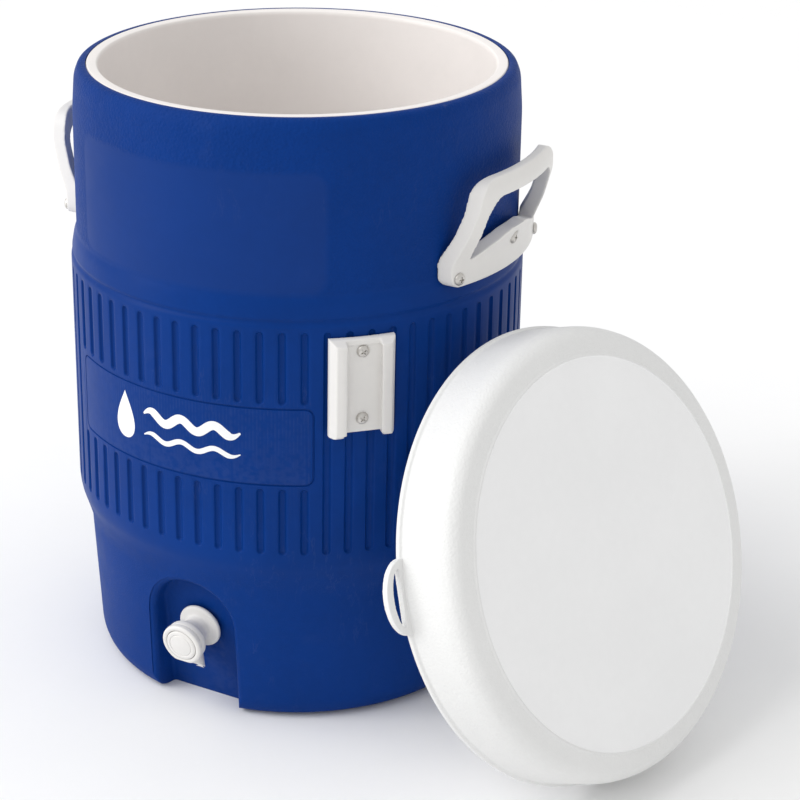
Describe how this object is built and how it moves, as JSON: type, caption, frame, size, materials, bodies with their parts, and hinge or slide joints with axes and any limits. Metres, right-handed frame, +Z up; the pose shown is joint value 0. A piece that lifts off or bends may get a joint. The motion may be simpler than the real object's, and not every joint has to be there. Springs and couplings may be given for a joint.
{
  "type": "insulated beverage dispenser",
  "caption": "Round insulated drink jug with a push-button spigot in a base recess, loop handles, a cup-dispenser bracket and a lift-off seat-top lid.",
  "frame": {"origin": "centre of the jug's flat base, on the floor", "axes": "+Z up along the jug's axis, -Y towards the spigot, +X towards the right-hand handle"},
  "size_m": [0.5328, 0.3916, 0.4522],
  "materials": {
    "shell_blue": "satin",
    "liner_grey": "satin",
    "trim_white": "satin",
    "lid_white": "satin",
    "foam": "matte",
    "seal_rubber": "matte",
    "screw_steel": "satin"
  },
  "bodies": {
    "jug": {"outer_shell": "shell_blue", "foam_core": "foam", "inner_liner": "liner_grey", "fill_plug": "shell_blue", "handle_right": "trim_white", "handle_right_screw_1": "screw_steel", "handle_right_screw_2": "screw_steel", "handle_right_screw_3": "screw_steel", "handle_left": "trim_white", "handle_left_screw_1": "screw_steel", "handle_left_screw_2": "screw_steel", "handle_left_screw_3": "screw_steel", "cup_bracket": "trim_white", "bracket_screw_1": "screw_steel", "bracket_screw_2": "screw_steel", "spigot_body": "trim_white", "spigot_bonnet": "trim_white", "spigot_spring": "screw_steel", "spigot_outer_gasket": "seal_rubber", "spigot_inner_gasket": "seal_rubber", "spigot_nut": "trim_white"},
    "spigot_press": {"spigot_button": "trim_white", "spigot_stem": "trim_white", "spigot_seal": "seal_rubber"},
    "lid": {"lid_cap": "lid_white", "lid_pan": "lid_white", "lid_foam": "foam"}
  },
  "joints": [
    {"name": "spigot_button_press", "type": "slide", "parent": "jug", "child": "spigot_press", "axis": [0, 0.9903, 0.1392], "range_m": [0, 0.004], "stiffness_N_per_m": 400, "springref_m": -0.003, "deforming": ["spigot_spring"]},
    {"name": "lid_lift_off", "type": "slide", "parent": "jug", "child": "lid", "axis": [0.9028, -0.2251, 0.3665], "range_m": [0, 0.3]}
  ]
}
